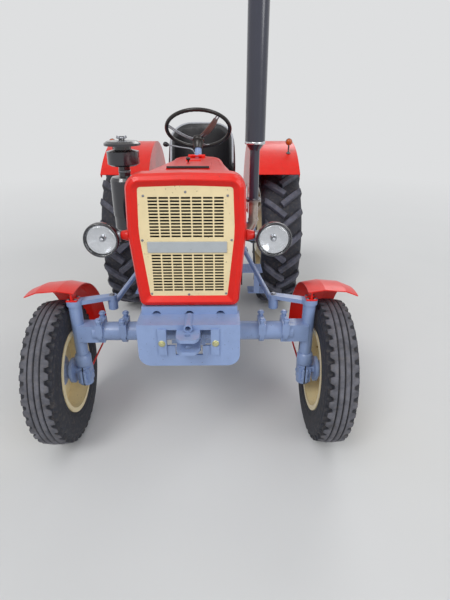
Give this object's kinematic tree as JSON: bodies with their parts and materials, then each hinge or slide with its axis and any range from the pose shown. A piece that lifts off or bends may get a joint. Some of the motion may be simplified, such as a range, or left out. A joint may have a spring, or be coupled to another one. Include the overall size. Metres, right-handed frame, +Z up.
{
  "type": "vintage farm tractor",
  "caption": "Light farm tractor with an upright grille, open engine, steered front axle, ribbed front tyres, lugged rear tyres, fenders and a rear hitch.",
  "frame": {"origin": "middle of the tractor's footprint, on the ground", "axes": "+Z up, -Y is the way it drives forward, +X is its left side"},
  "size_m": [1.6, 3.0699, 2.202],
  "materials": {
    "red_paint": "gloss",
    "cream_paint": "satin",
    "grey_paint": "satin",
    "black_paint": "gloss",
    "steering_grip": "gloss",
    "tyre_rubber": "matte",
    "vinyl": "satin",
    "amber_lens": "gloss",
    "red_lens": "gloss",
    "bare_steel": "satin"
  },
  "bodies": {
    "chassis": {"front_support": "grey_paint", "tow_bracket": "grey_paint", "tow_jaw": "grey_paint", "axle_beam": "grey_paint", "radiator": "black_paint", "mask": "red_paint", "grille": "cream_paint", "engine_block": "grey_paint", "cylinder_head": "grey_paint", "fuel_pump": "grey_paint", "dynamo": "black_paint", "starter": "grey_paint", "exhaust": "black_paint", "air_cleaner": "black_paint", "fuel_tank": "black_paint", "dash": "red_paint", "steering_box": "grey_paint", "gearbox": "grey_paint", "rear_axle": "grey_paint", "lift_housing": "grey_paint", "drawbar": "grey_paint", "footboards": "grey_paint", "rear_fenders": "red_paint", "headlamps": "black_paint", "signal_lamps": "amber_lens", "rear_lamps": "red_lens", "seat_frame": "black_paint", "seat_back": "vinyl", "seat_cushion": "vinyl", "controls": "black_paint"},
    "hood": {"hood": "red_paint"},
    "hatch": {"hatch": "red_paint"},
    "steering_wheel": {"steering_wheel": "steering_grip"},
    "fan": {"fan": "bare_steel"},
    "knuckle_left": {"knuckle_l": "grey_paint", "front_mudguard_l": "red_paint"},
    "knuckle_right": {"knuckle_r": "grey_paint", "front_mudguard_r": "red_paint"},
    "front_wheel_left": {"front_hub_l": "grey_paint", "front_rim_l": "cream_paint", "front_tyre_l": "tyre_rubber"},
    "front_wheel_right": {"front_hub_r": "grey_paint", "front_rim_r": "cream_paint", "front_tyre_r": "tyre_rubber"},
    "rear_wheel_left": {"rear_rim_l": "cream_paint", "rear_tyre_l": "tyre_rubber"},
    "rear_wheel_right": {"rear_rim_r": "cream_paint", "rear_tyre_r": "tyre_rubber"},
    "drag_link_left": {"drag_link_l": "grey_paint"},
    "drag_link_right": {"drag_link_r": "grey_paint"},
    "drop_arm_left": {"drop_arm_l": "grey_paint"},
    "drop_arm_right": {"drop_arm_r": "grey_paint"},
    "lift_arms": {"lift_arms": "grey_paint"},
    "lift_rods": {"lift_rods": "grey_paint"},
    "lower_links": {"lower_links": "grey_paint"}
  },
  "joints": [
    {"name": "steer_left", "type": "hinge", "parent": "chassis", "child": "knuckle_left", "pos_m": [0.577, -1.145, 0.6], "axis": [0, 0, 1], "range_deg": [-35, 35]},
    {"name": "steer_right", "type": "hinge", "parent": "chassis", "child": "knuckle_right", "pos_m": [-0.577, -1.145, 0.6], "axis": [0, 0, 1], "range_deg": [-36, 36]},
    {"name": "steering_wheel_turn", "type": "hinge", "parent": "chassis", "child": "steering_wheel", "pos_m": [0, -0.11, 1.412], "axis": [0, 0.5878, 0.809], "range_deg": [-530, 530]},
    {"name": "drop_arm_left_swing", "type": "hinge", "parent": "chassis", "child": "drop_arm_left", "pos_m": [0.258, -0.355, 0.985], "axis": [1, 0, 0], "range_deg": [-32, 32]},
    {"name": "drop_arm_right_swing", "type": "hinge", "parent": "chassis", "child": "drop_arm_right", "pos_m": [-0.258, -0.355, 0.985], "axis": [1, 0, 0], "range_deg": [-32, 32]},
    {"name": "drag_link_left_swing", "type": "hinge", "parent": "knuckle_left", "child": "drag_link_left", "pos_m": [0.407, -1.075, 0.7213], "axis": [0, 0, 1], "range_deg": [-39, 39]},
    {"name": "drag_link_right_swing", "type": "hinge", "parent": "knuckle_right", "child": "drag_link_right", "pos_m": [-0.407, -1.075, 0.7213], "axis": [0, 0, 1], "range_deg": [-39, 39]},
    {"name": "front_left_spin", "type": "hinge", "parent": "knuckle_left", "child": "front_wheel_left", "pos_m": [0.688, -1.145, 0.37258], "axis": [0.9994, 0, -0.0349], "continuous": true},
    {"name": "front_right_spin", "type": "hinge", "parent": "knuckle_right", "child": "front_wheel_right", "pos_m": [-0.688, -1.145, 0.37258], "axis": [0.9994, 0, 0.0349], "continuous": true},
    {"name": "rear_left_spin", "type": "hinge", "parent": "chassis", "child": "rear_wheel_left", "pos_m": [0.61, 0.635, 0.62], "axis": [1, 0, 0], "continuous": true},
    {"name": "rear_right_spin", "type": "hinge", "parent": "chassis", "child": "rear_wheel_right", "pos_m": [-0.61, 0.635, 0.62], "axis": [1, 0, 0], "continuous": true},
    {"name": "hood_open", "type": "hinge", "parent": "chassis", "child": "hood", "pos_m": [0, -0.338, 1.36], "axis": [-1, 0, 0], "range_deg": [0, 55]},
    {"name": "hatch_open", "type": "hinge", "parent": "hood", "child": "hatch", "pos_m": [0, -0.706, 1.37724], "axis": [-1, 0, 0], "range_deg": [0, 85]},
    {"name": "fan_spin", "type": "hinge", "parent": "chassis", "child": "fan", "pos_m": [0, -1.05, 1.02], "axis": [0, 1, 0], "continuous": true},
    {"name": "hitch_lift", "type": "hinge", "parent": "chassis", "child": "lift_arms", "pos_m": [0, 0.755, 0.885], "axis": [1, 0, 0], "range_deg": [-12, 38]},
    {"name": "lower_links_swing", "type": "hinge", "parent": "chassis", "child": "lower_links", "pos_m": [0, 0.745, 0.425], "axis": [1, 0, 0], "range_deg": [-8, 24]},
    {"name": "lift_rods_swing", "type": "hinge", "parent": "lift_arms", "child": "lift_rods", "pos_m": [0, 1.005, 0.885], "axis": [1, 0, 0], "range_deg": [-40, 14]}
  ],
  "couplings": [
    {"joint": "steer_right", "follows": "steer_left", "ratio": 1},
    {"joint": "steering_wheel_turn", "follows": "steer_left", "ratio": 15},
    {"joint": "drop_arm_left_swing", "follows": "steer_left", "ratio": -0.79},
    {"joint": "drop_arm_right_swing", "follows": "steer_left", "ratio": 0.79},
    {"joint": "drag_link_left_swing", "follows": "steer_left", "ratio": -1.0863},
    {"joint": "drag_link_right_swing", "follows": "steer_left", "ratio": -1.0863},
    {"joint": "lower_links_swing", "follows": "hitch_lift", "ratio": 0.58},
    {"joint": "lift_rods_swing", "follows": "hitch_lift", "ratio": -0.95}
  ]
}
